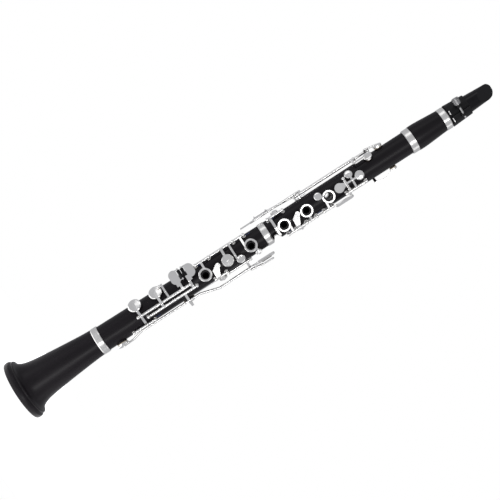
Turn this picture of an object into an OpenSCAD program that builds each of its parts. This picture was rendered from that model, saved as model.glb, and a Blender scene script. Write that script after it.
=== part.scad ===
// B-flat clarinet with German-style keywork, standing on its bell.
// Z runs up the bore. The finger holes face -Y and the player's left is +X.
// Origin: centre of the bell's mouth.

/* [Wood] */
// Height of the bell, up to the joint line
bell_len = 116; // [100:1:130]
// Height of the lower joint that shows
lower_len = 230.5; // [228:0.5:250]
// Height of the upper joint that shows
upper_len = 193.5; // [190:0.5:210]
// Height of the barrel
barrel_len = 56; // [50:1:66]
// Height of the mouthpiece above the barrel
mouth_len = 64; // [60:1:76]
// Radius of the bell's rim
bell_rim_r = 37.8; // [34:0.1:42]
// Radius of the bore
bore_r = 7.4; // [7:0.1:8]

/* [Joints] */
// Length of each tenon
tenon_len = 16; // [13:0.5:18]
// Radius of the lower tenon's cork
low_tenon_r = 12.4; // [12:0.1:12.8]
// Radius of the middle tenon's cork
mid_tenon_r = 11.2; // [10.8:0.1:11.4]
// Radius of the upper tenon's cork
top_tenon_r = 10.8; // [10.4:0.1:11.2]
// Gap between a cork and its socket, radially
cork_gap = 0.1; // [0.05:0.01:0.2]
// Thickness of the cork
cork_t = 1.2; // [0.8:0.1:1.6]

/* [Keywork] */
// Radius of a steel pivot rod
rod_r = 0.8; // [0.6:0.05:0.9]
// Running gap between a rod and its tube
rod_gap = 0.06; // [0.03:0.01:0.1]
// Outer radius of a hinge tube
tube_r = 1.65; // [1.4:0.05:1.8]
// Thickness of a key's arm
arm_t = 1.6; // [1.2:0.1:1.8]
// Width of a key's arm
arm_w = 3; // [2.4:0.1:3.2]
// Thickness of a pad
pad_t = 2.2; // [1.8:0.1:2.4]
// Thickness of a touch
touch_t = 1.5; // [1.2:0.1:1.8]
// Radius of a finger hole
hole_r = 4; // [3.4:0.1:4.3]
// Angle by which an open-standing key stands off its hole
open_ang = 9; // [6:0.5:10]
// Angle by which a finger ring stands above its hole
ring_ang = 6; // [4:0.5:7]

/* [Hidden] */
$fn = 48;
eps = 0.02;                              // seat between pieces of one body
seat_gap = 0.1;                          // pad to its seat when closed
low_top = bell_len + lower_len;
up_top = low_top + upper_len;
bar_top = up_top + barrel_len;
tip = bar_top + mouth_len;
low_r = 17.6;                            // rod axes on the lower joint
up_r = 17.3;                             // rod axes on the upper joint
stem_r = 1.3;                            // stem of a post
ball_r = 2.1;                            // head of a post
post_half = 1.6;                         // half a post's length along its rod

// A point in plan, at angle a from the front and radius r.
function at(a, r) = [r * sin(a), -r * cos(a)];

// Local frame on the body's side: x to the player's left, y up the bore, z outward.
module on(z, a, r) translate([0, 0, z]) rotate([0, 0, a]) translate([0, -r, 0])
    rotate([90, 0, 0]) children();

// Turns a key about its rod by ang.
module swing(a, r, ang) translate(at(a, r)) rotate([0, 0, ang]) translate(-at(a, r)) children();

// A bent flat arm in the plane at height z, through plan points.
module arm(z, pts, w = arm_w, t = arm_t) translate([0, 0, z - w / 2]) linear_extrude(w) {
    for (i = [0 : len(pts) - 2]) {
        d = pts[i + 1] - pts[i];
        translate(pts[i]) rotate(atan2(d[1], d[0])) translate([0, -t / 2]) square([norm(d), t]);
    }
    for (p = pts) translate(p) circle(t / 2, $fn = 24);
}

// A hinge tube between two heights, with its arms and cups as children.
module hinged(a, r, z0, z1) difference() {
    union() {
        translate([at(a, r)[0], at(a, r)[1], z0]) cylinder(r = tube_r, h = z1 - z0, $fn = 32);
        children();
    }
    translate([at(a, r)[0], at(a, r)[1], z0 - 30])
        cylinder(r = rod_r + rod_gap, h = z1 - z0 + 60, $fn = 32);
}

// A pad cup of radius cr, whose pad closes at radius s.
module cup(z, a, s, cr) on(z, a, s + seat_gap) rotate_extrude() polygon([[0, pad_t + eps],
    [cr - 0.5, pad_t + eps], [cr - 0.5, 0.9], [cr, 0.9], [cr, pad_t + 0.5],
    [cr - 0.5, pad_t + 1], [cr - 1.4, pad_t + 1.3], [0, pad_t + 1.7]]);
module pad(z, a, s, cr) on(z, a, s + seat_gap) cylinder(r = cr - 0.6, h = pad_t);

// A raised, drilled seat for a pad or a finger ring.
module boss(z, a, s, br) on(z, a, 9) cylinder(r = br, h = s - 9);
module hole(z, a, hr) on(z, a, 0) cylinder(r = hr, h = 40);

// A finger ring around its boss, level with the boss's top at radius s.
ring_in = hole_r + 1.6;
ring_w = 2.4;
module finger_ring(z, a, s) on(z, a, s - 1.6) rotate_extrude() polygon([[ring_in, 0],
    [ring_in + ring_w - 0.4, 0], [ring_in + ring_w, 0.5], [ring_in + ring_w, 1.1],
    [ring_in + ring_w - 0.6, 1.6], [ring_in + 0.4, 1.6], [ring_in, 1.2]]);

module post_head(hr) rotate_extrude($fn = 32) polygon([[0, -post_half], [hr - 0.7, -post_half],
    [hr, -0.7], [hr, 0.7], [hr - 0.7, post_half], [0, post_half]]);

// A post: its stem screws into the wood and its head holds the rod.
module post(z, a, r, wood, head = ball_r) on(z, a, wood - 3) difference() {
    union() {
        cylinder(r = stem_r, h = r - wood + 3, $fn = 24);
        translate([0, 0, 3 + eps]) cylinder(r = stem_r + 0.8, h = 0.9, $fn = 24);
        translate([0, 0, r - wood + 3]) rotate([90, 0, 0]) post_head(head);
    }
    translate([0, 0, r - wood + 3]) rotate([90, 0, 0])
        cylinder(r = rod_r + eps, h = 9, center = true, $fn = 32);
}
module post_socket(z, a, wood) on(z, a, wood - 3 - eps) {
    cylinder(r = stem_r + eps, h = 12, $fn = 24);
    translate([0, 0, 3]) cylinder(r = stem_r + 0.8 + eps, h = 12, $fn = 24);
}

function low_wood(z) = 15.7 - 2.3 * (z - bell_len) / lower_len;
function up_wood(z) = 13.4 + 0.5 * (z - low_top) / upper_len;
function low_seat(z) = low_wood(z) + 0.8;
function up_seat(z) = up_wood(z) + 0.8;
function ring_seat(wood) = wood + 2.6;

// Places on the lower joint, measured up from its lower end: [height, angle].
e_cup = [bell_len + 16, 76];
f_cup = [bell_len + 52.5, -50];
vent_cup = [bell_len + 81, -50];
ab_cup = [bell_len + 109.5, 100];
lever_cup = [bell_len + 84, 145];
ring_3 = [bell_len + 141.5, 0];
plateau = [bell_len + 172.5, 0];
small_cup = [bell_len + 186.5, 24];
ring_1 = [bell_len + 204.5, 0];
side_cup = [bell_len + 208.5, 42];
sliver_cup = [bell_len + 157, 68];
f_rod = -3;
ab_rod = 16;
e_rod = 46;
rh_rod = -59;
lever_rod = 112;
sliver_rod = 40;
// Places on the upper joint, measured up from the middle joint line.
left_3 = [low_top + 19.5, 0];
left_2 = [low_top + 50.5, 0];
left_1 = [low_top + 81, 0];
left_1_cup = [low_top + 70, -25];
left_sliver_cup = [low_top + 36, 82];
c_cup = [low_top + 17.5, -82];
a_cup = [low_top + 124.5, -4];
g_cup = [low_top + 114, -31];
trill_1_cup = [low_top + 144.5, -54];
trill_2_cup = [low_top + 161.5, -86];
reg_cup = [low_top + 164.5, 95];
thumb_z = low_top + 80.5;
lh_rod = 53;
c_rod = -58;
g_rod = 34;
trill_1_rod = -88;
trill_2_rod = -112;
reg_rod = 130;
trill_rod_r = 18.6;
a_axle_z = low_top + 106;
a_axle_r = 18.6;
a_axle_half = 7;
a_stem_r0 = 9.6;

LOW_HOLES = [[e_cup, 5.5], [f_cup, 5.5], [vent_cup, 5.5], [ab_cup, 5], [lever_cup, 4],
    [plateau, hole_r], [small_cup, 3], [side_cup, 2], [sliver_cup, 3]];
UP_HOLES = [[left_1_cup, 2.4], [left_sliver_cup, 3], [c_cup, 3], [a_cup, 3], [g_cup, 2.6],
    [trill_1_cup, 2.8], [trill_2_cup, 2.8]];
LOW_RINGS = [ring_3, ring_1];
UP_RINGS = [left_3, left_2, left_1];
// Posts: [height, angle, radius of the rod].
LOW_POSTS = [for (p = [[49, f_rod], [121, f_rod], [59.5, ab_rod], [126.5, ab_rod],
    [34.5, e_rod], [64.5, e_rod], [137, rh_rod], [173 - 18, rh_rod], [189, rh_rod],
    [203.5, rh_rod], [149, sliver_rod], [164, sliver_rod], [165, lever_rod], [196, lever_rod]])
    [bell_len + p[0], p[1], low_r]];
UP_POSTS = [for (p = [[18.5, lh_rod, up_r], [29.5, lh_rod, up_r], [43.5, lh_rod, up_r],
    [57.5, lh_rod, up_r], [68, lh_rod, up_r], [80, lh_rod, up_r], [6, c_rod, up_r],
    [27, c_rod, up_r], [101, g_rod, up_r], [128, g_rod, up_r], [52.5, trill_1_rod, trill_rod_r],
    [130, trill_1_rod, trill_rod_r], [47, trill_2_rod, trill_rod_r],
    [150, trill_2_rod, trill_rod_r], [102, reg_rod, up_r], [143, reg_rod, up_r]])
    [low_top + p[0], p[1], p[2]]];
// Rods: [from, to, angle, radius]; each reaches from post to post.
LOW_RODS = [[49, 121, f_rod], [59.5, 126.5, ab_rod], [34.5, 64.5, e_rod], [137, 155, rh_rod],
    [155.02, 189, rh_rod], [189.02, 203.5, rh_rod], [149, 164, sliver_rod],
    [165, 196, lever_rod]];
UP_RODS = [[18.5, 80, lh_rod, up_r], [6, 27, c_rod, up_r], [101, 128, g_rod, up_r],
    [52.5, 130, trill_1_rod, trill_rod_r], [47, 150, trill_2_rod, trill_rod_r],
    [102, 143, reg_rod, up_r]];

// ---- Bell ----
module bell() color("#17141a") difference() {
    rotate_extrude($fn = 96) polygon([[bell_rim_r - 6, 0], [bell_rim_r - 1.8, 0],
        [bell_rim_r - 0.4, 1.6], [bell_rim_r, 4.5], [bell_rim_r - 0.5, 7.4],
        [bell_rim_r - 2.2, 9], [bell_rim_r - 2.6, 9.6], [bell_rim_r - 2.4, 11],
        [bell_rim_r - 4.2, 12.2], [30, 13.4], [27.2, 18], [25.2, 25], [23.6, 35],
        [22, 47], [20.6, 60], [18.6, 80], [17, 98], [16.6, bell_len - 8.5],
        [15.3, bell_len - 8.5], [15.3, bell_len], [low_tenon_r + cork_gap, bell_len],
        [low_tenon_r + cork_gap, bell_len - tenon_len - 0.3], [11.6, bell_len - tenon_len - 0.3],
        [12, 80], [13.5, 60], [16.5, 40], [20.5, 24], [25.5, 11], [bell_rim_r - 6.8, 1.4]]);
}
module bell_ring() color("#e4e3df") rotate_extrude($fn = 96) polygon([
    [15.3 + eps, bell_len - 8.5 + eps], [16.7, bell_len - 8.5 + eps], [16.9, bell_len - 7.5],
    [16.9, bell_len - 1], [16.5, bell_len], [15.3 + eps, bell_len]]);

// ---- Joints ----
module lower_joint() color("#17141a") difference() {
    union() {
        rotate_extrude($fn = 96) polygon([[bore_r, bell_len - tenon_len],
            [low_tenon_r - cork_t, bell_len - tenon_len], [low_tenon_r - cork_t, bell_len + 0.1],
            [low_wood(bell_len), bell_len + 0.1], [low_wood(low_top), low_top - 8],
            [13.1, low_top - 8], [13.1, low_top], [mid_tenon_r + cork_gap, low_top],
            [mid_tenon_r + cork_gap, low_top - tenon_len - 0.3],
            [bore_r, low_top - tenon_len - 0.3]]);
        for (h = LOW_HOLES) boss(h[0][0], h[0][1], low_seat(h[0][0]), h[1] + 1.2);
        for (h = LOW_RINGS) boss(h[0], h[1], ring_seat(low_wood(h[0])), hole_r + 1);
    }
    translate([0, 0, bell_len]) cylinder(r = bore_r, h = lower_len - tenon_len);
    translate([0, 0, low_top - tenon_len - 0.3])
        cylinder(r = mid_tenon_r + cork_gap, h = tenon_len + 1, $fn = 96);
    for (h = LOW_HOLES) hole(h[0][0], h[0][1], h[1]);
    for (h = LOW_RINGS) hole(h[0], h[1], hole_r);
    for (p = LOW_POSTS) post_socket(p[0], p[1], low_wood(p[0]));
    for (s = [-1, 1]) translate([0, 0, rest_z + s * rest_pitch / 2]) rotate([-90, 0, 0])
        translate([0, 0, low_wood(rest_z) - 3]) cylinder(r = rest_screw_r + eps, h = 9);
    translate([0, low_wood(rest_z) - 0.2 + 5, rest_z]) cube([12, 10, 30], center = true);
}
module lower_joint_ring() color("#e4e3df") rotate_extrude($fn = 96) polygon([
    [13.1 + eps, low_top - 8 + eps], [14, low_top - 8 + eps], [14.2, low_top - 7],
    [14.2, low_top - 1.4], [13.8, low_top], [13.1 + eps, low_top]]);
module upper_joint() color("#17141a") difference() {
    union() {
        rotate_extrude($fn = 96) polygon([[bore_r, low_top - tenon_len],
            [mid_tenon_r - cork_t, low_top - tenon_len], [mid_tenon_r - cork_t, low_top + eps],
            [up_wood(low_top), low_top + eps], [up_wood(up_top), up_top],
            [top_tenon_r - cork_t, up_top], [top_tenon_r - cork_t, up_top + tenon_len],
            [bore_r, up_top + tenon_len]]);
        for (h = UP_HOLES) boss(h[0][0], h[0][1], up_seat(h[0][0]), h[1] + 1.2);
        for (h = UP_RINGS) boss(h[0], h[1], ring_seat(up_wood(h[0])), hole_r + 1);
        boss(reg_cup[0], reg_cup[1], up_seat(reg_cup[0]) - 0.4, 4);
    }
    translate([0, 0, low_top]) cylinder(r = bore_r, h = upper_len);
    for (h = UP_HOLES) hole(h[0][0], h[0][1], h[1]);
    for (h = UP_RINGS) hole(h[0], h[1], hole_r);
    hole(reg_cup[0], reg_cup[1], 2.4);
    on(thumb_z, 180, 0) cylinder(r = 5.6, h = 20);
    for (p = UP_POSTS) post_socket(p[0], p[1], up_wood(p[0]));
    for (s = [-1, 1]) translate([0, 0, a_axle_z]) rotate([0, 0, a_cup[1]])
        translate([s * a_axle_half, 0, 0]) rotate([90, 0, 0]) translate([0, 0, a_stem_r0 - eps])
            cylinder(r = stem_r + eps, h = 12, $fn = 24);
}
module tenon_corks() color("#a5794c") {
    for (c = [[low_tenon_r, bell_len - tenon_len + 2, tenon_len - 4],
            [mid_tenon_r, low_top - tenon_len + 2, tenon_len - 4],
            [top_tenon_r, up_top + 2, tenon_len - 4]])
        translate([0, 0, c[1]]) difference() {
            cylinder(r = c[0], h = c[2], $fn = 96);
            translate([0, 0, -1]) cylinder(r = c[0] - cork_t + eps, h = c[2] + 2, $fn = 96);
        }
}

// ---- Barrel and mouthpiece ----
sock = tenon_len + 0.5;
module barrel() color("#17141a") difference() {
    rotate_extrude($fn = 96) polygon([[bore_r, up_top + 0.1], [13.8, up_top + 0.1],
        [13.8, up_top + 8.6], [15.6, up_top + 8.6], [15.8, up_top + 14], [15.3, up_top + 22],
        [14.2, bar_top - 18], [13.5, bar_top - 8], [12.6, bar_top - 8], [12.6, bar_top],
        [bore_r, bar_top]]);
    translate([0, 0, up_top]) cylinder(r = top_tenon_r + cork_gap, h = sock, $fn = 96);
    translate([0, 0, bar_top - sock]) cylinder(r = top_tenon_r + cork_gap, h = sock + 1, $fn = 96);
}
module barrel_rings() color("#e4e3df") {
    rotate_extrude($fn = 96) polygon([[13.8 + eps, up_top + 0.1], [14.8, up_top + 0.1],
        [15.2, up_top + 1], [15.3, up_top + 8.6 - eps], [13.8 + eps, up_top + 8.6 - eps]]);
    rotate_extrude($fn = 96) polygon([[12.6 + eps, bar_top - 8 + eps],
        [13.6, bar_top - 8 + eps], [13.8, bar_top - 7], [13.8, bar_top - 1], [13.4, bar_top],
        [12.6 + eps, bar_top]]);
}
mp_base_r = 12.4;
table_y = 8.2;
lig_z = bar_top + 1.6;
lig_len = 26;
function mp_r(z) = mp_base_r - 2.5 * (z - bar_top) / 44;
module mouth_solid(g = 0) rotate_extrude($fn = 96) polygon([[0, bar_top + 0.2],
    [mp_base_r + g, bar_top + 0.2], [mp_r(bar_top + 44) + g, bar_top + 44],
    [9 + g, tip - 4], [7.6 + g, tip], [0, tip]]);
module mouthpiece() color("#0d0d0f") difference() {
    union() {
        mouth_solid();
        translate([0, 0, bar_top - tenon_len]) cylinder(r = top_tenon_r - cork_t,
            h = tenon_len + 1, $fn = 96);
    }
    translate([0, 0, bar_top - tenon_len - 1]) cylinder(r = bore_r, h = tenon_len + 22);
    translate([-20, table_y, bar_top - 2]) cube([40, 20, mouth_len + 10]);
    translate([-20, 0, 0]) rotate([90, 0, 90]) linear_extrude(40) polygon([
        [-12, bar_top + 38], [table_y - 1, tip], [table_y - 1, tip + 5], [-20, tip + 5],
        [-20, bar_top + 38]]);
    translate([-5.5, 0, 0]) rotate([90, 0, 90]) linear_extrude(11) polygon([
        [-4, bar_top + 18], [table_y + 1, bar_top + 26], [table_y + 1, tip - 3],
        [table_y - 2.6, tip - 3], [-4, bar_top + 34]]);
}
module mouthpiece_cork() color("#a5794c") translate([0, 0, bar_top - tenon_len + 2])
    difference() {
        cylinder(r = top_tenon_r, h = tenon_len - 4, $fn = 96);
        translate([0, 0, -1]) cylinder(r = top_tenon_r - cork_t + eps, h = tenon_len, $fn = 96);
    }
module reed() color("#d8b671") intersection() {
    mouth_solid();
    translate([-6, 0, 0]) rotate([90, 0, 90]) linear_extrude(12) polygon([
        [table_y + eps, bar_top + 1], [14, bar_top + 1], [14, bar_top + 32],
        [table_y + 1.2, bar_top + 42], [table_y + 0.35, tip - 0.8],
        [table_y + eps, tip - 0.8]]);
}
screw_z = bar_top + 16;
screw_r = 1.45;
screw_y = -15.2;
module lig_shell(r0, r1) rotate_extrude($fn = 96) polygon([[mp_r(lig_z) + r0, lig_z],
    [mp_r(lig_z) + r1, lig_z], [mp_r(lig_z + lig_len) + r1, lig_z + lig_len],
    [mp_r(lig_z + lig_len) + r0, lig_z + lig_len]]);
module ligature() color("#1c1c1e") difference() {
    union() {
        lig_shell(0.15, 1.7);
        for (x = [-5.6, 5.8]) translate([x, screw_y + 1.4, screw_z]) rotate([0, 90, 0])
            cylinder(r = 3, h = 3.4, center = true);
    }
    translate([-1.2, -30, lig_z - 1]) cube([2.4, 24, lig_len + 2]);
    mouth_solid(0.15);
    translate([-40, screw_y, screw_z]) rotate([0, 90, 0]) cylinder(r = screw_r + 0.06, h = 80);
}
module ligature_bars() color("#d9d9d6") for (s = [-1, 1]) translate([s * 5 - 2.5,
    -mp_r(lig_z) - 2.6, lig_z + 0.6]) cube([5, 1.2, 1.2]);
module ligature_screw() color("#8f8f8f") translate([-8.2, screw_y, screw_z])
    rotate([0, -90, 0]) {
        difference() {
            cylinder(r = 4.1, h = 8.2);
            for (i = [0 : 15]) rotate(i * 22.5) translate([4.3, 0, 1])
                cylinder(r = 0.4, h = 8, $fn = 8);
        }
        translate([0, 0, -18.5]) cylinder(r = screw_r, h = 19);
    }

// ---- Thumb ----
rest_z = bell_len + 176;
rest_pitch = 21;
rest_screw_r = 1.2;
strap_r = 3;
module thumb_rest() color("#e4e3df") translate([0, low_wood(rest_z) - 0.2 + eps, rest_z])
    difference() {
        union() {
            translate([-5, 0, -13]) cube([10, 1.8, 26]);
            translate([-5, 0, -4]) cube([10, 15, 2.2]);
            translate([-1.1, 0, -2]) cube([2.2, 12, 10]);
        }
        translate([-5, 7, 4]) rotate([0, 90, 0]) cylinder(r = strap_r, h = 10);
        for (s = [-1, 1]) translate([0, -1, s * rest_pitch / 2]) rotate([-90, 0, 0])
            cylinder(r = rest_screw_r + 0.05, h = 9);
    }
module thumb_rest_screws() color("#d0d0cc") for (s = [-1, 1])
    translate([0, low_wood(rest_z) - 2.8, rest_z + s * rest_pitch / 2]) rotate([-90, 0, 0]) {
        cylinder(r = rest_screw_r, h = 4.6);
        translate([0, 0, 4.5]) difference() {
            cylinder(r = 2.1, h = 1);
            translate([-3, -0.25, 0.6]) cube([6, 0.5, 1]);
        }
    }
module thumb_bush() color("#e4e3df") on(thumb_z, 180, bore_r + 0.6) difference() {
    cylinder(r = 5.6 - eps, h = up_wood(thumb_z) + 1.6 - bore_r);
    translate([0, 0, -1]) cylinder(r = hole_r, h = 20);
}
module register_tube() color("#d9b45b") on(reg_cup[0], reg_cup[1], bore_r - 2) difference() {
    cylinder(r = 2.4 - eps, h = up_seat(reg_cup[0]) - bore_r + 2);
    translate([0, 0, -1]) cylinder(r = 1.5, h = 20);
}

// ---- Posts, rods and springs ----
module posts() color("#dcdcd8") {
    for (p = LOW_POSTS) post(p[0], p[1], p[2], low_wood(p[0]));
    for (p = UP_POSTS) post(p[0], p[1], p[2], up_wood(p[0]));
    for (s = [-1, 1]) a_post(s);
}
// A post of the throat key's axle, which lies across the bore.
module a_post(s) difference() {
    translate([0, 0, a_axle_z]) rotate([0, 0, a_cup[1]]) translate([s * a_axle_half, 0, 0]) {
        rotate([90, 0, 0]) translate([0, 0, a_stem_r0])
            cylinder(r = stem_r, h = a_axle_r - a_stem_r0, $fn = 24);
        translate([0, -a_axle_r, 0]) rotate([0, 90, 0]) post_head(ball_r);
    }
    on(a_axle_z, a_cup[1], a_axle_r) rotate([0, 90, 0])
        cylinder(r = rod_r + eps, h = 30, center = true, $fn = 32);
}
module rods(list, r_default) for (d = list) {
    p = at(d[2], len(d) > 3 ? d[3] : r_default);
    base = r_default == low_r ? bell_len : low_top;
    translate([p[0], p[1], base + d[0] - post_half])
        cylinder(r = rod_r, h = d[1] - d[0] + 2 * post_half - (d[1] > 154 && d[1] < 190 ? 3.2 : 0),
            $fn = 32);
}
module pivot_rods() color("#b9b9b5") {
    rods([LOW_RODS[0], LOW_RODS[1], LOW_RODS[2], [137, 203.5, rh_rod], LOW_RODS[6],
        LOW_RODS[7]], low_r);
    rods(UP_RODS, up_r);
    on(a_axle_z, a_cup[1], a_axle_r) rotate([0, 90, 0])
        cylinder(r = rod_r, h = 2 * a_axle_half + 2, center = true, $fn = 32);
}
// Needle springs: thin wires held in the posts, lying beside the tubes.
module key_springs() color("#3b4a6b") {
    for (p = [LOW_POSTS[0], LOW_POSTS[2], LOW_POSTS[5], LOW_POSTS[6], LOW_POSTS[9]])
        on(p[0] + 2.3, p[1] - 1, (p[2] + low_wood(p[0])) / 2 - 1)
            rotate([-90, 0, 0]) cylinder(r = 0.25, h = 6, $fn = 16);
    for (p = [UP_POSTS[0], UP_POSTS[3], UP_POSTS[6], UP_POSTS[10], UP_POSTS[12]])
        on(p[0] + 2.3, p[1] - 1, (p[2] + up_wood(p[0])) / 2 - 1)
            rotate([-90, 0, 0]) cylinder(r = 0.25, h = 6, $fn = 16);
}

// ---- Keys ----
// A straight round bar between two points.
module bar(p, q, r) {
    d = q - p;
    translate(p) rotate([0, acos(d[2] / norm(d)), atan2(d[1], d[0])])
        cylinder(r = r, h = norm(d), $fn = 24);
    for (e = [p, q]) translate(e) sphere(r, $fn = 24);
}
// A flat lever in the radial plane at angle a, from points [radius, height].
module spine(a, pts, w = 2.4) rotate([0, 0, a - 90]) rotate([90, 0, 0])
    translate([0, 0, -w / 2]) linear_extrude(w) polygon(pts);
function up(z, a, r) = [at(a, r)[0], at(a, r)[1], z];
// Plan point beside a cup: side is the way out, -1 to the right or 1 to the left.
function rim(a, s, cr, side) = at(a, s + pad_t + 1.9) + (cr + 0.9) * side * [cos(a), sin(a)];
function top(a, s) = at(a, s + pad_t + 1.9);
// A rounded plate: a stadium len long across the body.
module stadium(x0, x1, r) {
    for (x = [x0, x1]) translate([x, 0]) circle(r);
    translate([x0, -r]) square([x1 - x0, 2 * r]);
}
module slab(z, a, r, t = touch_t) on(z, a, r) linear_extrude(t) children();

big = 8.2;
ab_big = 7.6;
small = 5.2;
// E key: left little finger, closes the lowest hole.
module e_swing() swing(e_rod, low_r, -open_ang * 0.6) children();
e_bar_z = low_top - 107;
module low_e_key() color("#e2e2de") e_swing()
    hinged(e_rod, low_r, bell_len + 36.6, bell_len + 62.4) {
        cup(e_cup[0], e_cup[1], low_seat(e_cup[0]), big - 0.7);
        bar(up(e_cup[0], e_cup[1], low_seat(e_cup[0]) + pad_t + 1.6),
            up(e_cup[0] + 14, e_cup[1] - 6, low_r + 2.4), 1.1);
        bar(up(e_cup[0] + 14, e_cup[1] - 6, low_r + 2.4), up(bell_len + 42, 58, low_r + 0.8), 1.2);
        arm(bell_len + 42, [at(e_rod, low_r), at(58, low_r + 0.8)]);
        bar(up(bell_len + 42, 58, low_r + 0.8), up(e_bar_z, 58, low_r + 0.8), 1.3);
        bar(up(e_bar_z, 58, low_r + 0.8), up(e_bar_z + 24, 74, 23.6), 1.4);
        bar(up(e_bar_z + 24, 74, 23.6), up(low_top - 30, 72, 23.4), 1.5);
        slab(low_top - 19, 70, 22.6) {
            rotate(90) stadium(-9, 8, 4.2);
            translate([-2, -16]) square([4, 10]);
        }
        on(roller_z - 2.8, roller_a, 23.2) rotate([-90, 0, 0])
            cylinder(r = pin_r, h = 18.4, $fn = 24);
        for (z = [roller_z - 1.6, roller_z + 14.6]) arm(z, [at(72, 23.4), at(roller_a, 23.2)], 1.4, 2.4);
    }
roller_z = low_top - 25;
roller_a = 87;
module low_e_pad() color("#8a3b2e") e_swing()
    pad(e_cup[0], e_cup[1], low_seat(e_cup[0]), big - 0.7);

// F key: right little finger, on the long rod beside the front.
module f_swing() swing(f_rod, low_r, open_ang) children();
f_s = low_seat(f_cup[0]);
f_touch_z = bell_len + 111;
roll_r = 2.1;
roll_len = 10.4;
pin_r = 0.6;
module f_key() color("#e2e2de") f_swing()
    hinged(f_rod, low_r, bell_len + 51.2, bell_len + 118.8) {
        cup(f_cup[0], f_cup[1], f_s, big);
        arm(f_cup[0], [top(f_cup[1], f_s), rim(f_cup[1], f_s, big, 1), at(f_rod, low_r),
            at(31, low_r + 0.9)]);
        arm(bell_len + 92, [at(f_rod, low_r), at(-28, 21.6), at(-56, 22)], 2.4);
        bar(up(bell_len + 92, -56, 22), up(bell_len + 86, -56, 22), 0.9);
        arm(f_touch_z, [at(f_rod, low_r), at(-13, 20), at(-20, 21.4)]);
        slab(f_touch_z, -26, 21) difference() {
            union() {
                translate([0, -1.2]) stadium(-11.5, -6, 6);
                translate([-6, -4]) square([9, 5.6]);
            }
            translate([-30, 3.6]) square([60, 20]);
        }
        for (x = [-3, -16]) slab(f_touch_z, -26, 20.8, 1.8)
            translate([x, 0]) stadium_tab();
        on(f_touch_z + 6.4, -26, 21.8) translate([-16, 0, 0]) rotate([0, 90, 0])
            cylinder(r = pin_r, h = 13.4, $fn = 24);
    }
module stadium_tab() {
    translate([0, 1]) square([0.8, 5.6]);
    translate([0.4, 6.4]) circle(1.1, $fn = 24);
}
module roller() rotate([0, 90, 0]) difference() {
    cylinder(r = roll_r, h = roll_len);
    translate([0, 0, -1]) cylinder(r = pin_r + 0.06, h = roll_len + 2, $fn = 24);
}
module f_roller() color("#101012") f_swing()
    on(f_touch_z + 6.4, -26, 21.8) translate([-14.3, 0, 0]) roller();
module f_pad() color("#8a3b2e") f_swing() pad(f_cup[0], f_cup[1], f_s, big);

// Vent key: closed by the F key's bar.
vent_ang = open_ang * 0.8;
v_s = low_seat(vent_cup[0]);
module vent_key() color("#e2e2de") swing(ab_rod, low_r, vent_ang)
    hinged(ab_rod, low_r, bell_len + 61.6, bell_len + 98.4) {
        cup(vent_cup[0], vent_cup[1], v_s, big);
        arm(vent_cup[0], [top(vent_cup[1], v_s), rim(vent_cup[1], v_s, big, 1), at(f_rod, 21.4),
            at(ab_rod, low_r)]);
    }
module vent_pad() color("#8a3b2e") swing(ab_rod, low_r, vent_ang)
    pad(vent_cup[0], vent_cup[1], v_s, big);

// A-flat key: right little finger, opens the hole on the left.
ab_s = low_seat(ab_cup[0]);
ab_touch_z = bell_len + 122.5;
module a_flat_key() color("#e2e2de") hinged(ab_rod, low_r, bell_len + 98.8, bell_len + 124.3) {
    cup(ab_cup[0], ab_cup[1], ab_s, ab_big);
    arm(ab_cup[0], [at(ab_rod, low_r), at(40, 23), at(75, 24),
        rim(ab_cup[1], ab_s, ab_big, -1) + [1, -1], top(ab_cup[1], ab_s)]);
    arm(ab_touch_z, [at(ab_rod, low_r), at(3, 22.6), at(-16, 22)]);
    slab(ab_touch_z, -24, 21.4) difference() {
        union() {
            translate([0, 6]) stadium(-9.5, -5, 6.4);
            translate([-6, -1.5]) square([10, 6]);
        }
        translate([-30, -20]) square([26.4, 22]);
    }
    for (x = [-3, -16]) slab(ab_touch_z, -24, 21.2, 1.8)
        translate([x, 0]) mirror([0, 1]) translate([0, -5.8]) stadium_tab();
    on(ab_touch_z - 0.6, -24, 22.2) translate([-16, 0, 0]) rotate([0, 90, 0])
        cylinder(r = pin_r, h = 13.4, $fn = 24);
}
module a_flat_roller() color("#101012") on(ab_touch_z - 0.6, -24, 22.2)
    translate([-14.3, 0, 0]) roller();
module a_flat_pad() color("#8a3b2e") pad(ab_cup[0], ab_cup[1], ab_s, ab_big);

// Ring and plate keys of the right hand, on one rod.
module rh_swing() swing(rh_rod, low_r, -ring_ang) children();
module ring_arm(z, s, side, rod, r) arm(z, [side * [ring_in + 1.4, 0] + [0, -s + 0.8],
    at(rod, r)], 2.6, 1.4);
module ring_key_3() color("#e2e2de") rh_swing()
    hinged(rh_rod, low_r, bell_len + 139, bell_len + 153) {
        finger_ring(ring_3[0], 0, ring_seat(low_wood(ring_3[0])));
        ring_arm(ring_3[0] + 3, ring_seat(low_wood(ring_3[0])), -1, rh_rod, low_r);
    }
pl_s = low_seat(plateau[0]);
sc_s = low_seat(small_cup[0]);
plate_r = 7.2;
module plateau_key() color("#e2e2de") rh_swing()
    hinged(rh_rod, low_r, bell_len + 157, bell_len + 187) {
        cup(plateau[0], 0, pl_s, plate_r);
        arm(plateau[0], [top(0, pl_s), rim(0, pl_s, plate_r, -1), at(rh_rod, low_r)]);
        cup(small_cup[0], small_cup[1], sc_s, small);
        arm(small_cup[0] - 3.5, [top(small_cup[1], sc_s), at(0, 20.6), at(-25, 20.2),
            at(rh_rod, low_r)], 2.4);
    }
module plateau_pads() color("#8a3b2e") rh_swing() {
    pad(plateau[0], 0, pl_s, plate_r);
    pad(small_cup[0], small_cup[1], sc_s, small);
}
sd_s = low_seat(side_cup[0]);
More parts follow.
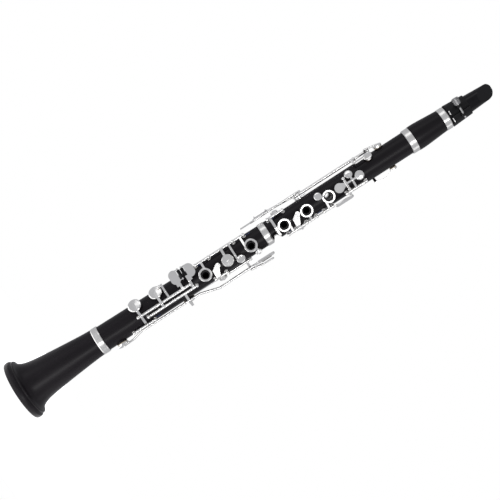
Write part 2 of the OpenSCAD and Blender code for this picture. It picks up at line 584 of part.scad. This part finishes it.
module ring_key_1() color("#e2e2de") rh_swing()
    hinged(rh_rod, low_r, bell_len + 191, bell_len + 201.5) {
        finger_ring(ring_1[0], 0, ring_seat(low_wood(ring_1[0])));
        ring_arm(ring_1[0] - 6, ring_seat(low_wood(ring_1[0])), -0.7, rh_rod, low_r);
        cup(side_cup[0], side_cup[1], sd_s, 4);
        arm(side_cup[0], [[6.4, -ring_seat(low_wood(ring_1[0])) + 0.6],
            rim(side_cup[1], sd_s, 3.2, -1), top(side_cup[1], sd_s)], 2.4, 1.4);
    }
module ring_key_1_pad() color("#8a3b2e") rh_swing() pad(side_cup[0], side_cup[1], sd_s, 4);

// Sliver keys: a bent touch between two rings.
module sliver(z, r) on(z, 0, r) linear_extrude(touch_t) {
    translate([-2.4, 2.4]) circle(3, $fn = 32);
    polygon([[-4.2, 4.8], [0.5, 3.2], [9.5, -1], [9.5, -6.2], [0, -6], [-5.2, 1.4]]);
}
sl_s = low_seat(sliver_cup[0]);
module right_sliver_key() color("#e2e2de")
    hinged(sliver_rod, low_r, bell_len + 151, bell_len + 162) {
        sliver(sliver_cup[0], 18.2);
        arm(sliver_cup[0] - 3.4, [[9, -18.9], at(sliver_rod, low_r)], 4);
        cup(sliver_cup[0], sliver_cup[1], sl_s, small);
        arm(sliver_cup[0], [at(sliver_rod, low_r), rim(sliver_cup[1], sl_s, small, -1),
            top(sliver_cup[1], sl_s)], 2.4);
    }
module right_sliver_pad() color("#8a3b2e") pad(sliver_cup[0], sliver_cup[1], sl_s, small);

// Lever key: left little finger, opens a hole at the back.
lv_s = low_seat(lever_cup[0]);
module lever_key() color("#e2e2de")
    hinged(lever_rod, low_r, bell_len + 167, bell_len + 194) {
        cup(lever_cup[0], lever_cup[1], lv_s, 6.4);
        bar(up(lever_cup[0], lever_cup[1], lv_s + pad_t + 1.6),
            up(lever_cup[0] + 16, 132, 21.4), 1.1);
        bar(up(lever_cup[0] + 16, 132, 21.4), up(bell_len + 172, 122, low_r + 1.6), 1.3);
        arm(bell_len + 172, [at(lever_rod, low_r), at(122, low_r + 1.6)]);
        arm(bell_len + 190, [at(lever_rod, low_r), at(103, 24), at(95, 27)]);
        bar(up(bell_len + 190, 95, 27), up(low_top - 26, 92, 28.6), 1.3);
        slab(low_top - 21, 88, 28) {
            rotate(90) stadium(-6, 7, 3.4);
        }
    }
module lever_pad() color("#8a3b2e") pad(lever_cup[0], lever_cup[1], lv_s, 6.4);
module lever_roller() color("#101012") e_swing() on(roller_z, roller_a, 23.2)
    rotate([-90, 0, 0]) difference() {
        cylinder(r = roll_r - 0.3, h = 13);
        translate([0, 0, -1]) cylinder(r = pin_r + 0.06, h = 15, $fn = 24);
    }

// C-sharp key: left little finger, across the middle joint.
c_s = up_seat(c_cup[0]);
module c_sharp_key() color("#e2e2de")
    hinged(c_rod, up_r, low_top + 8, low_top + 25) {
        arm(low_top + 9.5, [at(c_rod, up_r), at(-35, 19.8), at(-8, 20.6), at(22, 20.6)]);
        slab(low_top + 5, 36, 19.6) {
            stadium(-1, 3, 5.4);
            polygon([[-9.5, 1.6], [-9.5, -2], [-1, -5.2], [-1, 5.2]]);
        }
        cup(c_cup[0], c_cup[1], c_s, 4.6);
        arm(c_cup[0], [at(c_rod, up_r), rim(c_cup[1], c_s, 4.6, 1), top(c_cup[1], c_s)], 2.4);
    }
module c_sharp_pad() color("#8a3b2e") pad(c_cup[0], c_cup[1], c_s, 4.6);

// Rings of the left hand.
module lh_swing() swing(lh_rod, up_r, ring_ang) children();
module left_ring_3() color("#e2e2de") lh_swing()
    hinged(lh_rod, up_r, low_top + 20.6, low_top + 27.4) {
        finger_ring(left_3[0], 0, ring_seat(up_wood(left_3[0])));
        ring_arm(left_3[0] + 5.5, ring_seat(up_wood(left_3[0])), 0.8, lh_rod, up_r);
    }
module left_ring_2() color("#e2e2de") lh_swing()
    hinged(lh_rod, up_r, low_top + 46, low_top + 55) {
        finger_ring(left_2[0], 0, ring_seat(up_wood(left_2[0])));
        ring_arm(left_2[0] - 0.5, ring_seat(up_wood(left_2[0])), 1, lh_rod, up_r);
    }
l1_s = up_seat(left_1_cup[0]);
module left_ring_1() color("#e2e2de") lh_swing()
    hinged(lh_rod, up_r, low_top + 70, low_top + 78) {
        finger_ring(left_1[0], 0, ring_seat(up_wood(left_1[0])));
        ring_arm(left_1[0] - 6, ring_seat(up_wood(left_1[0])), 0.75, lh_rod, up_r);
        cup(left_1_cup[0], left_1_cup[1], l1_s, 4.6);
        spine(-14, [[17.3, low_top + 69], [18.6, low_top + 69], [18.6, low_top + 74],
            [16.8, low_top + 76.5], [15.2, low_top + 76.5], [15.2, low_top + 74.8],
            [17.3, low_top + 73.2]]);
    }
module left_ring_1_pad() color("#8a3b2e") lh_swing()
    pad(left_1_cup[0], left_1_cup[1], l1_s, 4.6);
ls_s = up_seat(left_sliver_cup[0]);
module left_sliver_key() color("#e2e2de")
    hinged(lh_rod, up_r, low_top + 31.6, low_top + 41.4) {
        sliver(left_sliver_cup[0] + 1, 18);
        arm(left_sliver_cup[0] - 2.4, [[9, -18.7], at(lh_rod, up_r)], 4);
        cup(left_sliver_cup[0], left_sliver_cup[1], ls_s, small);
        arm(left_sliver_cup[0], [at(lh_rod, up_r), rim(left_sliver_cup[1], ls_s, small, -1),
            top(left_sliver_cup[1], ls_s)], 2.4);
    }
module left_sliver_pad() color("#8a3b2e")
    pad(left_sliver_cup[0], left_sliver_cup[1], ls_s, small);

// Throat A key: a see-saw on an axle across the front.
a_s = up_seat(a_cup[0]);
module throat_a_key() color("#e2e2de") difference() {
    union() {
        on(a_axle_z, a_cup[1], a_axle_r) rotate([0, 90, 0])
            cylinder(r = tube_r, h = 2 * a_axle_half - 4.4, center = true, $fn = 32);
        cup(a_cup[0], a_cup[1], a_s, 5.6);
        on(0, a_cup[1], 18.2) translate([-1.1, a_axle_z, 0]) cube([2.2, a_cup[0] - a_axle_z, 1.4]);
        slab(a_axle_z - 9.5, a_cup[1], 18.2) {
            circle(5.8);
            polygon([[-5.2, 2.4], [-1.2, 9.5], [1.2, 9.5], [5.2, 2.4]]);
        }
    }
    on(a_axle_z, a_cup[1], a_axle_r) rotate([0, 90, 0])
        cylinder(r = rod_r + rod_gap, h = 30, center = true, $fn = 32);
}
module throat_a_pad() color("#8a3b2e") pad(a_cup[0], a_cup[1], a_s, 5.6);

// Throat G-sharp key.
g_s = up_seat(g_cup[0]);
module g_sharp_key() color("#e2e2de")
    hinged(g_rod, up_r, low_top + 103, low_top + 126) {
        cup(g_cup[0], g_cup[1], g_s, 4.9);
        arm(g_cup[0], [top(g_cup[1], g_s), at(-22, 21.6), at(-4, 22.9), at(14, 22), at(g_rod, up_r)],
            2.4, 1.4);
        arm(low_top + 104.6, [at(g_rod, up_r), at(46, 18.6), at(56, 19.2)]);
        slab(low_top + 95, 56, 18.6) rotate(90) stadium(-9, 8.5, 3.4);
    }
module g_sharp_pad() color("#8a3b2e") pad(g_cup[0], g_cup[1], g_s, 4.9);

// Trill keys: side touches of the right hand, on long rods.
t1_s = up_seat(trill_1_cup[0]);
module trill_key_1() color("#e2e2de")
    hinged(trill_1_rod, trill_rod_r, low_top + 54.3, low_top + 128.2) {
        cup(trill_1_cup[0], trill_1_cup[1], t1_s, 5.6);
        arm(low_top + 126.6, [at(trill_1_rod, trill_rod_r), at(-71, 20.6),
            at(trill_1_cup[1], 18.9)], 2.6);
        spine(trill_1_cup[1], [[18, low_top + 125.4], [19.6, low_top + 125.4],
            [19.6, trill_1_cup[0] - 3], [18.8, trill_1_cup[0] + 2],
            [17.6, trill_1_cup[0] + 2], [17.6, trill_1_cup[0] - 4]]);
        arm(low_top + 56, [at(trill_1_rod, trill_rod_r), at(-102, 21.4)]);
        bar(up(low_top + 55.8, -101.5, 21.3), up(low_top - 12, -101, 20.7), 1.2);
        slab(low_top - 17, -101, 20) rotate(90) stadium(-8, 7, 3.2);
    }
module trill_pad_1() color("#8a3b2e") pad(trill_1_cup[0], trill_1_cup[1], t1_s, 5.6);
t2_s = up_seat(trill_2_cup[0]);
module trill_key_2() color("#e2e2de")
    hinged(trill_2_rod, trill_rod_r, low_top + 48.8, low_top + 148.2) {
        cup(trill_2_cup[0], trill_2_cup[1], t2_s, 5.6);
        arm(low_top + 146.6, [at(trill_2_rod, trill_rod_r), at(-98, 20.6)], 2.6);
        bar(up(low_top + 146.6, -98, 20.6), up(trill_2_cup[0], trill_2_cup[1], t2_s + pad_t + 1.7),
            1.1);
        arm(low_top + 50.4, [at(trill_2_rod, trill_rod_r), at(-122, 21)]);
        bar(up(low_top + 50.4, -122, 21), up(low_top + 8, -126, 25), 1.3);
        slab(low_top + 2, -125, 24.6) rotate(90) stadium(-6, 7, 3.6);
    }
module trill_pad_2() color("#8a3b2e") pad(trill_2_cup[0], trill_2_cup[1], t2_s, 5.6);

// Register key: left thumb.
rg_s = up_seat(reg_cup[0]);
module register_key() color("#e2e2de")
    hinged(reg_rod, up_r, low_top + 104, low_top + 141) {
        cup(reg_cup[0], reg_cup[1], rg_s, 4.6);
        arm(low_top + 139, [at(reg_rod, up_r), at(108, 20.4), at(97, 20)], 3);
        spine(reg_cup[1], [[19.2, low_top + 137.6], [21.2, low_top + 137.6],
            [23, low_top + 147], [23, low_top + 156], [rg_s + 4.2, reg_cup[0] + 1.5],
            [rg_s + 2.6, reg_cup[0] + 1.5], [rg_s + 2.6, reg_cup[0] - 3], [21.3, low_top + 154],
            [21.3, low_top + 148], [19.2, low_top + 141]]);
        arm(low_top + 105.6, [at(reg_rod, up_r), at(146, 19.4), at(160, 19.2)]);
        slab(low_top + 98, 164, 18.4) rotate(90) stadium(-5, 6, 4.4);
    }
module register_pad() color("#8a3b2e") pad(reg_cup[0], reg_cup[1], rg_s, 4.6);

bell();
bell_ring();
lower_joint();
lower_joint_ring();
upper_joint();
tenon_corks();
barrel();
barrel_rings();
mouthpiece();
mouthpiece_cork();
reed();
ligature();
ligature_bars();
ligature_screw();
thumb_rest();
thumb_rest_screws();
thumb_bush();
register_tube();
posts();
pivot_rods();
low_e_key();
low_e_pad();
f_key();
f_pad();
vent_key();
vent_pad();
a_flat_key();
a_flat_pad();
f_roller();
a_flat_roller();
ring_key_3();
plateau_key();
plateau_pads();
ring_key_1();
ring_key_1_pad();
right_sliver_key();
right_sliver_pad();
lever_key();
lever_pad();
lever_roller();
c_sharp_key();
c_sharp_pad();
left_ring_3();
left_ring_2();
left_ring_1();
left_ring_1_pad();
left_sliver_key();
left_sliver_pad();
throat_a_key();
throat_a_pad();
g_sharp_key();
g_sharp_pad();
trill_key_1();
trill_pad_1();
trill_key_2();
trill_pad_2();
register_key();
register_pad();
key_springs();
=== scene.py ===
# A B-flat clarinet with German-style keys, standing on its bell.
import math

import bpy
from mathutils import Matrix, Vector


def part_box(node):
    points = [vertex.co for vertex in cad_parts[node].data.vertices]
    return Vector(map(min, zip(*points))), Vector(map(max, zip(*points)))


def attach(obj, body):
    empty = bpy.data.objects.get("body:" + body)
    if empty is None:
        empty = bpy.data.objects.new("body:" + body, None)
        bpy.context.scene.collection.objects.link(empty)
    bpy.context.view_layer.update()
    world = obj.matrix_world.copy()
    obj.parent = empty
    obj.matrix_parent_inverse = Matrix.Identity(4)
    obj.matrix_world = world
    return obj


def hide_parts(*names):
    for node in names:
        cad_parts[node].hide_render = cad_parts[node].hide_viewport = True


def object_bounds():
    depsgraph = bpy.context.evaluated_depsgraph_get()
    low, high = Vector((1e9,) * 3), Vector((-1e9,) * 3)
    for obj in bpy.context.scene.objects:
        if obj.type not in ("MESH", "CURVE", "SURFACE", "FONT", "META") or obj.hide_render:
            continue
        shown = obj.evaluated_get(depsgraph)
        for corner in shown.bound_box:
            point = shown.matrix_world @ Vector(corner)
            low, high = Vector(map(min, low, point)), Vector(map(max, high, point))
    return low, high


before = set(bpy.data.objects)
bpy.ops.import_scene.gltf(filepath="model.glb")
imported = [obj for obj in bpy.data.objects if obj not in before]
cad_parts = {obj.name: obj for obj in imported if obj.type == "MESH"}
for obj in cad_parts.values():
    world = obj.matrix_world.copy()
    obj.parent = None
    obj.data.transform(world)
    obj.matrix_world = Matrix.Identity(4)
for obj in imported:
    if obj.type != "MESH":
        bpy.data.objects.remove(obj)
cad_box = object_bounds()

# ---- Grenadilla: bell, joints and barrel ----
# African blackwood, bored and turned, then oiled to a satin black. Its open grain runs
# up the bore as fine pores, with a faint purple-brown figure.


class Socket:
    """A node's output that can be used in sums, so a finish reads as its recipe."""

    def __init__(self, finish, link):
        self.finish = finish
        self.link = link

    def maths(self, operation, a, b):
        return self.finish.node("ShaderNodeMath", {"operation": operation}, [a, b])

    def __add__(self, other):
        return self.maths("ADD", self, other)

    def __radd__(self, other):
        return self.maths("ADD", other, self)

    def __mul__(self, other):
        return self.maths("MULTIPLY", self, other)

    def __rmul__(self, other):
        return self.maths("MULTIPLY", other, self)

    def __rsub__(self, other):
        return self.maths("SUBTRACT", other, self)


class Finish:
    """One procedural material, with its shader and its object coordinates."""

    def __init__(self, name):
        self.material = bpy.data.materials.new(name)
        self.material.use_nodes = True
        self.tree = self.material.node_tree
        self.shader = self.tree.nodes["Principled BSDF"]
        place = self.tree.nodes.new("ShaderNodeTexCoord")
        self.place = Socket(self, place.outputs["Object"])

    def node(self, kind, settings=None, values=None, output=0):
        made = self.tree.nodes.new(kind)
        for key, value in (settings or {}).items():
            setattr(made, key, value)
        pairs = values.items() if isinstance(values, dict) else enumerate(values or [])
        for key, value in pairs:
            if isinstance(value, Socket):
                self.tree.links.new(value.link, made.inputs[key])
            else:
                made.inputs[key].default_value = value
        return Socket(self, made.outputs[output])

    def noise(self, stretch, scale, detail=4.0):
        """Noise on the piece, with a different stretch along each axis."""
        place = self.node("ShaderNodeMapping", None, {"Vector": self.place, "Scale": stretch})
        return self.node("ShaderNodeTexNoise", None,
                         {"Vector": place, "Scale": scale, "Detail": detail})

    def tint(self, mask, low, high):
        return self.node("ShaderNodeMix", {"data_type": "RGBA"},
                         {0: mask, 6: (*low, 1.0), 7: (*high, 1.0)}, 2)

    def bump(self, height, strength, distance):
        return self.node("ShaderNodeBump", None,
                         {"Height": height, "Strength": strength, "Distance": distance})

    def put(self, **sockets):
        """Sets or links the shader's sockets, named with underscores for spaces."""
        for key, value in sockets.items():
            socket = self.shader.inputs[key.replace("_", " ")]
            if isinstance(value, Socket):
                self.tree.links.new(value.link, socket)
            else:
                socket.default_value = value
        return self.material


wood = Finish("grenadilla")
figure = wood.noise((60, 60, 4), 1.6, 6.0)
pores = wood.noise((900, 900, 24), 1.0, 3.0)
grenadilla = wood.put(
    Base_Color=wood.tint(figure * 0.7 + pores * 0.3, (0.002, 0.0017, 0.0024), (0.012, 0.009, 0.012)),
    Roughness=0.26 + figure * 0.12 + pores * 0.08,
    Normal=wood.bump(pores, 0.18, 0.0002),
    Specular_IOR_Level=0.20)

# ---- Bell ----
# One turned piece of grenadilla: a thick rounded rim, a cut groove and a bead, then the
# long flare up to the socket that the lower joint's tenon slides into.


def turned(name, profile, material, sides=64):
    """Turns a closed profile of (radius, height) in metres, as on a lathe."""
    bpy.ops.object.select_all(action="DESELECT")
    bpy.ops.mesh.primitive_circle_add(vertices=sides, radius=profile[0][0],
                                      location=(0, 0, profile[0][1]))
    piece = bpy.context.object
    bpy.ops.object.transform_apply(location=True)
    piece.name = name
    bpy.ops.object.mode_set(mode="EDIT")
    for (r0, z0), (r1, z1) in zip(profile, profile[1:]):
        bpy.ops.mesh.extrude_region_move(TRANSFORM_OT_translate={"value": (0, 0, z1 - z0)})
        bpy.ops.transform.resize(value=(r1 / r0, r1 / r0, 1), center_override=(0, 0, z1))
    bpy.ops.mesh.select_all(action="SELECT")
    bpy.ops.mesh.select_non_manifold(extend=False)
    bpy.ops.mesh.bridge_edge_loops()
    bpy.ops.mesh.select_all(action="SELECT")
    bpy.ops.mesh.normals_make_consistent(inside=False)
    bpy.ops.object.mode_set(mode="OBJECT")
    piece.data.materials.append(material)
    return piece


def smoothed(piece, levels=2):
    """Rounds a turned piece off, keeping the edges that have two close points."""
    bpy.ops.object.select_all(action="DESELECT")
    bpy.context.view_layer.objects.active = piece
    piece.select_set(True)
    round_off = piece.modifiers.new("round_off", "SUBSURF")
    round_off.levels = levels
    round_off.render_levels = levels
    bpy.ops.object.modifier_apply(modifier="round_off")
    bpy.ops.object.shade_smooth_by_angle(angle=math.radians(50))
    return piece


bell_low, bell_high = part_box("bell")
rim = bell_high[0]
bell_top = bell_high[2]
edge = 0.0004
tenon_socket = 0.0125
socket_foot = bell_top - 0.0160
neck = 0.0166
ring_seat = 0.0153
seat_foot = bell_top - 0.0086
throat = [(tenon_socket, bell_top), (tenon_socket, bell_top - edge), (tenon_socket, socket_foot),
          (0.0119, socket_foot - edge), (0.0117, 0.094), (0.0121, 0.080), (0.0136, 0.060),
          (0.0166, 0.040), (0.0206, 0.024), (0.0256, 0.011), (rim - 0.0068, 0.0012)]
mouth = [(rim - 0.0058, 0.0001), (rim - 0.0020, 0.0001), (rim - 0.0005, 0.0016),
         (rim - 0.0001, 0.0044), (rim - 0.0006, 0.0072), (rim - 0.0024, 0.0089),
         (rim - 0.0031, 0.0093), (rim - 0.0029, 0.0100), (rim - 0.0024, 0.0106),
         (rim - 0.0032, 0.0116), (rim - 0.0050, 0.0122)]
flare = [(0.0300, 0.0136), (0.0272, 0.0180), (0.0250, 0.0250), (0.0234, 0.0350),
         (0.0219, 0.0470), (0.0205, 0.0600), (0.0186, 0.0800), (0.0170, 0.0980),
         (neck, seat_foot - 0.0006), (neck, seat_foot - 0.0001), (ring_seat, seat_foot),
         (ring_seat, bell_top - edge), (ring_seat, bell_top)]
bell = smoothed(turned("turned_bell", throat + mouth + flare, grenadilla))
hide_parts("bell")
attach(bell, "bell")

# ---- Lower and upper joints ----
# Turned and bored grenadilla tubes, with the raised finger-hole chimneys and pad seats left
# standing. Corked tenons join them to their neighbours.


def wear(material, *nodes):
    """Gives a finish to carried-over pieces."""
    for name in nodes:
        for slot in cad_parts[name].material_slots:
            slot.material = material


wear(grenadilla, "lower_joint", "upper_joint")

# ---- Barrel ----
# A short swelling tube of the same wood, with a plated ring shrunk on each end. It slides
# over the upper joint's tenon and takes the mouthpiece's.
barrel_low, barrel_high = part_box("barrel")
foot = barrel_low[2]
head = barrel_high[2]
cork_socket = 0.0109
bore = 0.0074
head_seat = 0.0126
foot_seat = 0.0138
foot_seat_top = foot + 0.0086
inside = [(cork_socket, foot), (cork_socket, foot + edge), (cork_socket, foot + 0.0158),
          (bore + 0.0002, foot + 0.0162), (bore, foot + 0.0170), (bore, head - 0.0172),
          (bore + 0.0002, head - 0.0167), (cork_socket, head - 0.0163),
          (cork_socket, head - edge), (cork_socket, head)]
swell = [(head_seat, head), (head_seat, head - 0.0080), (0.0134, head - 0.0081),
         (0.0136, head - 0.0088), (0.0142, head - 0.0180), (0.0149, head - 0.0270),
         (0.0154, foot + 0.0220), (0.0158, foot + 0.0140), (0.0156, foot + 0.0090),
         (0.0154, foot_seat_top), (foot_seat, foot_seat_top), (foot_seat, foot)]
barrel = smoothed(turned("turned_barrel", inside + swell, grenadilla))
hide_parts("barrel")
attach(barrel, "barrel")

# ---- Rings ----
# Nickel-silver bands turned on the lathe and silver-plated: fine lines run round them. The
# thumb hole's bush has the same finish.
band = Finish("turned_silver_ring")
lines = band.noise((20, 20, 4000), 1.0, 2.0)
ring_silver = band.put(
    Base_Color=band.tint(lines, (0.80, 0.79, 0.77), (0.93, 0.92, 0.90)),
    Metallic=1.0,
    Roughness=0.20 + lines * 0.14,
    Normal=band.bump(lines, 0.10, 0.0001))
wear(ring_silver, "bell_ring", "lower_joint_ring", "barrel_rings", "thumb_bush")

# ---- Keys ----
# Forged and filed nickel silver, soldered to hinge tubes and silver-plated. Handling
# leaves soft smears in the polish and a slight warmth in the plate. The posts, the thumb
# rest and the ligature's bars are plated alike.
plate = Finish("silver_plate")
smear = plate.noise((1, 1, 1), 90.0, 3.0)
ripple = plate.noise((1, 1, 1), 420.0, 2.0)
key_silver = plate.put(
    Base_Color=plate.tint(smear, (0.88, 0.865, 0.84), (0.96, 0.955, 0.945)),
    Metallic=1.0,
    Roughness=0.10 + smear * 0.12,
    Normal=plate.bump(ripple, 0.06, 0.0002))
keys = [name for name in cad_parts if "pad" not in name
        and (name.endswith("_key") or name.startswith(("ring_key", "left_ring", "trill_key")))]
wear(key_silver, *keys, "posts", "thumb_rest", "ligature_bars")

# ---- Rods, screws and springs ----
# Turned steel rods that the hinge tubes run on, the screws of the thumb rest, and needle
# springs blued by tempering.
steel = Finish("turned_steel")
turning = steel.noise((40, 40, 900), 1.0, 2.0)
wear(steel.put(Base_Color=steel.tint(turning, (0.50, 0.50, 0.49), (0.66, 0.66, 0.64)),
               Metallic=1.0, Roughness=0.22 + turning * 0.16),
     "pivot_rods", "thumb_rest_screws")
blued = Finish("blued_spring")
temper = blued.noise((1, 1, 60), 4.0)
wear(blued.put(Base_Color=blued.tint(temper, (0.03, 0.05, 0.16), (0.10, 0.13, 0.28)),
               Metallic=1.0, Roughness=0.24 + temper * 0.1),
     "key_springs")

# ---- Rollers ----
# Black moulded resin, polished. Each turns on a pin at the edge of a little-finger touch,
# so that the finger can slide across.
resin = Finish("roller_resin")
sheen = resin.noise((1, 1, 1), 300.0)
wear(resin.put(Base_Color=resin.tint(sheen, (0.003, 0.003, 0.004), (0.008, 0.008, 0.009)),
               Roughness=0.16 + sheen * 0.1, Specular_IOR_Level=0.22),
     "f_roller", "a_flat_roller", "lever_roller")

# ---- Pads ----
# Felt discs wrapped in fish skin, cream and faintly wrinkled, and glued into the cups of
# the keys.
skin = Finish("pad_skin")
wrinkle = skin.noise((1, 1, 1), 700.0, 6.0)
wear(skin.put(Base_Color=skin.tint(wrinkle, (0.55, 0.45, 0.30), (0.78, 0.70, 0.55)),
              Roughness=0.5 + wrinkle * 0.2, Normal=skin.bump(wrinkle, 0.3, 0.0002)),
     *[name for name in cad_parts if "pad" in name])

# ---- Tenon corks ----
# Sheet cork, glued round each tenon and greased, which holds and seals it in its socket.
cork = Finish("tenon_cork")
grain = cork.noise((1, 1, 1), 900.0, 8.0)
wear(cork.put(Base_Color=cork.tint(grain, (0.22, 0.11, 0.05), (0.58, 0.38, 0.20)),
              Roughness=0.6 + grain * 0.2, Normal=cork.bump(grain, 0.5, 0.0004)),
     "tenon_corks", "mouthpiece_cork")

# ---- Mouthpiece ----
# Polished ebonite, black, with the faint haze that hand-buffed rubber has. Its corked tenon
# sits in the top of the barrel.
ebonite = Finish("ebonite")
haze = ebonite.noise((1, 1, 1), 160.0, 3.0)
wear(ebonite.put(Base_Color=ebonite.tint(haze, (0.002, 0.002, 0.003), (0.006, 0.006, 0.008)),
                 Roughness=0.13 + haze * 0.1, Specular_IOR_Level=0.22),
     "mouthpiece")

# ---- Reed ----
# Split cane: pale straw, with straight fibres that run to the tip. It lies flat on the
# mouthpiece, under the ligature.
cane = Finish("reed_cane")
fibre = cane.noise((1400, 400, 12), 1.0, 4.0)
wear(cane.put(Base_Color=cane.tint(fibre, (0.50, 0.34, 0.14), (0.80, 0.64, 0.36)),
              Roughness=0.45 + fibre * 0.2, Normal=cane.bump(fibre, 0.3, 0.0002)),
     "reed")

# ---- Ligature ----
# A moulded black band with a fine satin grain, drawn round the reed by one screw with a
# knurled gunmetal head.
satin = Finish("ligature_satin")
moulding = satin.noise((1, 1, 1), 1100.0, 3.0)
wear(satin.put(Base_Color=satin.tint(moulding, (0.003, 0.003, 0.004), (0.010, 0.010, 0.011)),
               Specular_IOR_Level=0.22, Roughness=0.38 + moulding * 0.14,
               Normal=satin.bump(moulding, 0.16, 0.0002)),
     "ligature")
gunmetal = Finish("knurled_gunmetal")
rub = gunmetal.noise((1, 1, 1), 500.0)
wear(gunmetal.put(Base_Color=gunmetal.tint(rub, (0.16, 0.16, 0.16), (0.42, 0.42, 0.42)),
                  Metallic=1.0, Roughness=0.26 + rub * 0.14),
     "ligature_screw")

# ---- Register tube ----
# A turned brass liner pressed into the wood, where the register key's pad closes.
brass = Finish("brass_tube")
tarnish = brass.noise((1, 1, 1), 400.0)
wear(brass.put(Base_Color=brass.tint(tarnish, (0.50, 0.34, 0.12), (0.80, 0.62, 0.30)),
               Metallic=1.0, Roughness=0.25 + tarnish * 0.15),
     "register_tube")

# ---- Floor ----
# A plain white disc under the bell, which glows as bright as the backdrop, so it shows
# no edge.
bpy.ops.object.select_all(action="DESELECT")
floor_gap = 0.0006
bpy.ops.mesh.primitive_circle_add(vertices=96, radius=0.3, fill_type="NGON",
                                  location=(0, 0, -floor_gap))
floor = bpy.context.object
floor.name = "floor"
floor.data.materials.append(Finish("pale_floor").put(
    Base_Color=(1, 1, 1, 1), Roughness=0.9, Emission_Color=(1, 1, 1, 1),
    Emission_Strength=1.0))

# ---- Light ----
# An even surround behind a white backdrop, a tall strip that lays a streak along the wood,
# and a soft box on each side.
world = bpy.data.worlds.new("white_studio")
bpy.context.scene.world = world
world.use_nodes = True
sky = world.node_tree
surround = sky.nodes["Background"]
surround.inputs["Color"].default_value = (0.95, 0.96, 1.0, 1)
surround.inputs["Strength"].default_value = 0.50
backdrop = sky.nodes.new("ShaderNodeBackground")
backdrop.inputs["Color"].default_value = (1, 1, 1, 1)
backdrop.inputs["Strength"].default_value = 1.0
ray = sky.nodes.new("ShaderNodeLightPath")
choose = sky.nodes.new("ShaderNodeMixShader")
sky.links.new(ray.outputs["Is Camera Ray"], choose.inputs[0])
sky.links.new(surround.outputs[0], choose.inputs[1])
sky.links.new(backdrop.outputs[0], choose.inputs[2])
sky.links.new(choose.outputs[0], sky.nodes["World Output"].inputs["Surface"])

half_way = cad_box[1][2] / 2


def softbox(name, turn, reach, height, size, power):
    """A rectangular light that faces the bore from turn degrees round the front."""
    bpy.ops.object.light_add(type="AREA")
    lamp = bpy.context.object
    lamp.name = name
    lamp.data.shape = "RECTANGLE"
    lamp.data.size = size[0]
    lamp.data.size_y = size[1]
    lamp.data.energy = power
    angle = math.radians(turn)
    lamp.location = (reach * math.sin(angle), -reach * math.cos(angle), height)
    aim = Vector((0, 0, half_way)) - lamp.location
    lamp.rotation_euler = aim.to_track_quat("-Z", "Y").to_euler()


softbox("strip", 16, 1.3, half_way, (0.16, 1.0), 4)
softbox("side_fill", -70, 1.2, 0.6, (0.5, 0.9), 1.1)
softbox("far_fill", 80, 1.3, 0.5, (0.4, 0.9), 0.8)

# ---- Camera ----
# Square to the bore from a little to the player's right, rolled so the bell lies low left.
distance = 1.6
azimuth = math.radians(-9)
roll = math.radians(57.23)
side = Vector((math.cos(azimuth), math.sin(azimuth), 0))
away = Vector((math.sin(azimuth), -math.cos(azimuth), 0))
rise = Vector((0, 0, 1))
right = math.cos(roll) * side + math.sin(roll) * rise
upward = math.cos(roll) * rise - math.sin(roll) * side
aim_across, aim_height = 0.0059, 0.3168
aimed = aim_across * side + aim_height * rise
bpy.ops.object.camera_add()
camera = bpy.context.object
camera.data.sensor_width = 36
camera.data.lens = 98
camera.matrix_world = Matrix.Translation(aimed + distance * away) @ Matrix(
    (right, upward, away)).transposed().to_4x4()
bpy.context.scene.camera = camera
bpy.context.scene.view_settings.view_transform = "Standard"
